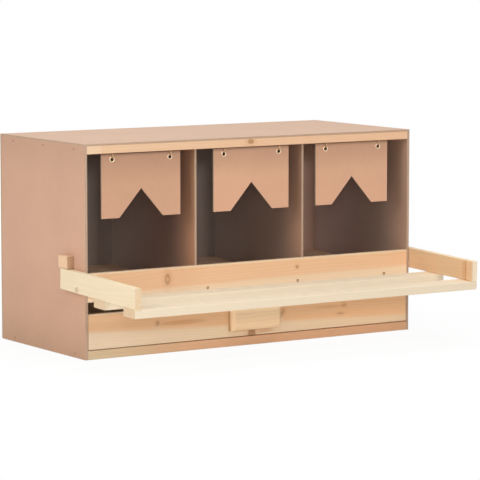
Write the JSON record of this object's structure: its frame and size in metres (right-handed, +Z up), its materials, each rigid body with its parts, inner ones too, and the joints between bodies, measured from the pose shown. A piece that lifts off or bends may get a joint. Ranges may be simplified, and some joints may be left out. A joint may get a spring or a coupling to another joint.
{
  "type": "chicken nesting box",
  "caption": "Free-standing wooden poultry nest box with side-by-side compartments, hanging notched flaps, a fold-up perch frame and a pull-out egg drawer.",
  "frame": {"origin": "on the floor under the middle of the bottom front rail", "axes": "+X to the right of someone facing the box, +Y to the back, +Z up"},
  "size_m": [0.731, 0.5099, 0.38],
  "materials": {
    "hardboard": "smooth brown hardboard, matt",
    "pine": "planed bare pine",
    "pale_pine": "planed pale bare pine",
    "dark_steel": "dark phosphated steel",
    "plated_steel": "zinc-plated steel"
  },
  "bodies": {
    "carcass": {"left_side_panel": "hardboard", "right_side_panel": "hardboard", "back_panel": "hardboard", "top_panel": "hardboard", "base_panel": "hardboard", "divider_left": "hardboard", "divider_right": "hardboard", "nest_floor": "hardboard", "floor_front_bearer": "pine", "floor_rear_batten": "pine", "lip_board": "pine", "lip_batten": "pine", "top_front_rail": "pine", "top_rear_rail": "pine", "top_left_batten": "pine", "top_right_batten": "pine", "bottom_front_rail": "pine", "bottom_rear_rail": "pine", "bottom_left_batten": "pine", "bottom_right_batten": "pine", "stop_block_left": "pine", "stop_block_right": "pine", "pivot_screws": "plated_steel", "pivot_washers": "plated_steel", "screw_eyes": "plated_steel", "side_panel_nails": "dark_steel", "lip_screws": "dark_steel"},
    "perch": {"perch_arm_left": "pale_pine", "perch_arm_right": "pale_pine", "perch_front_bar": "pale_pine", "perch_rear_bar": "pale_pine", "bar_screws": "dark_steel"},
    "drawer": {"drawer_front": "pine", "drawer_left_side": "pine", "drawer_right_side": "pine", "drawer_back": "pine", "drawer_bottom": "hardboard", "drawer_handle": "pine", "handle_screws": "dark_steel"},
    "flap_left": {"flap_left": "hardboard", "flap_left_eyelets": "plated_steel"},
    "flap_middle": {"flap_middle": "hardboard", "flap_middle_eyelets": "plated_steel"},
    "flap_right": {"flap_right": "hardboard", "flap_right_eyelets": "plated_steel"}
  },
  "joints": [
    {"name": "perch_fold", "type": "hinge", "parent": "carcass", "child": "perch", "pos_m": [0, 0, 0.1255], "axis": [-1, 0, 0], "range_deg": [0, 91.9]},
    {"name": "drawer_slide", "type": "slide", "parent": "carcass", "child": "drawer", "axis": [0, -1, 0], "range_m": [0, 0.24]},
    {"name": "flap_left_swing", "type": "hinge", "parent": "carcass", "child": "flap_left", "pos_m": [-0.23283, 0, 0.3571], "axis": [1, 0, 0], "range_deg": [-3, 85]},
    {"name": "flap_middle_swing", "type": "hinge", "parent": "carcass", "child": "flap_middle", "pos_m": [-0.0009, 0, 0.3571], "axis": [1, 0, 0], "range_deg": [-3, 85]},
    {"name": "flap_right_swing", "type": "hinge", "parent": "carcass", "child": "flap_right", "pos_m": [0.22103, 0, 0.3571], "axis": [1, 0, 0], "range_deg": [-3, 85]}
  ]
}
